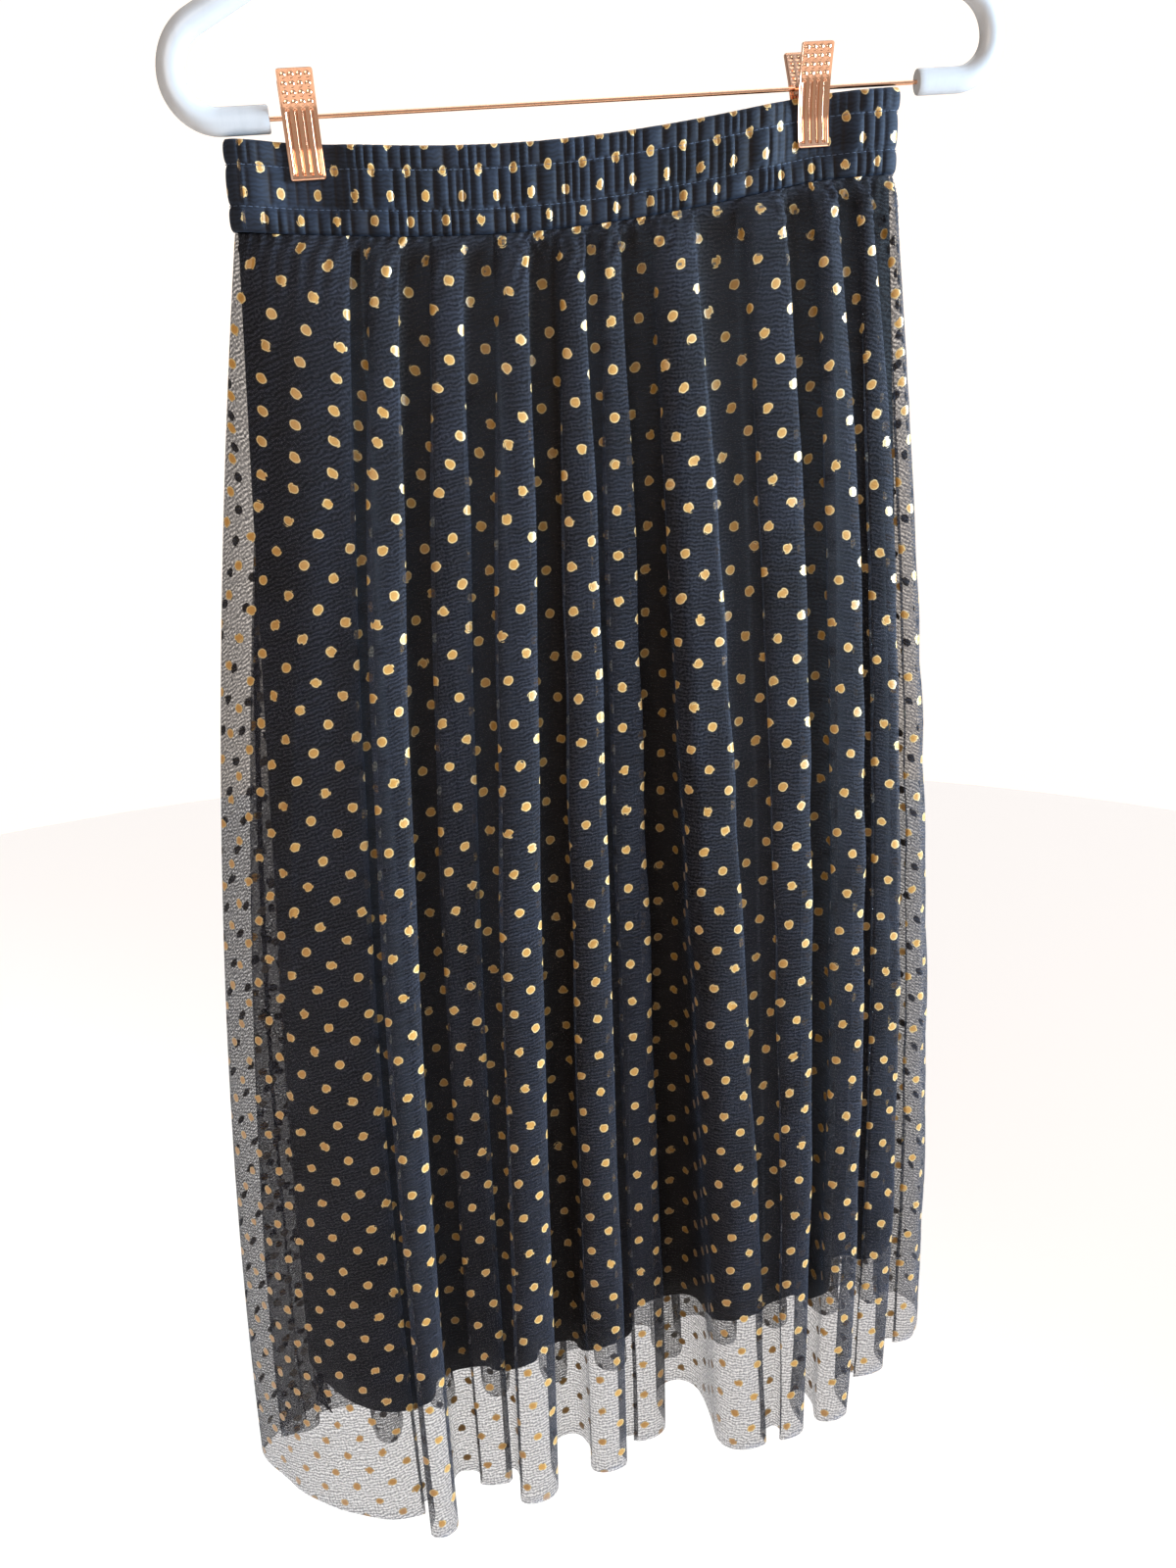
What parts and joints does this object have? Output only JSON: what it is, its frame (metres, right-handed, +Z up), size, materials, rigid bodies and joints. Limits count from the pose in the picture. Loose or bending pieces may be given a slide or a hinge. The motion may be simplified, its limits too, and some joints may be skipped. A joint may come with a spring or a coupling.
{
  "type": "maxi skirt on a clip hanger",
  "caption": "Gathered maxi skirt of sheer dotted net over a lining, with a shirred elastic waistband, hung by clips from a hanger.",
  "frame": {"origin": "inside top of the hanger's hook, where a rail holds it", "axes": "+Z up along gravity, +X to the viewer's right as the front is seen, +Y from the front to the back"},
  "size_m": [0.472, 0.146, 1.034],
  "materials": {
    "dotted_net": "sheer navy knitted net with a rubbery print of small mustard dots",
    "waistband_net": "navy knitted net shirred over three elastic tunnels, same dot print",
    "lining_fabric": "matt black woven lining",
    "white_hanger": "satin white coating over a bent tube",
    "rose_gold": "polished rose gold plating on steel"
  },
  "bodies": {
    "root": {"waistband": "waistband_net", "net_front": "dotted_net", "net_back": "dotted_net", "lining_front": "lining_fabric", "lining_back": "lining_fabric", "hanger_frame": "white_hanger", "hanger_bar": "rose_gold", "hanger_hook": "rose_gold", "left_clip_front_jaw": "rose_gold", "left_clip_back_jaw": "rose_gold", "left_clip_spring": "rose_gold", "right_clip_front_jaw": "rose_gold", "right_clip_back_jaw": "rose_gold", "right_clip_spring": "rose_gold"}
  },
  "joints": []
}
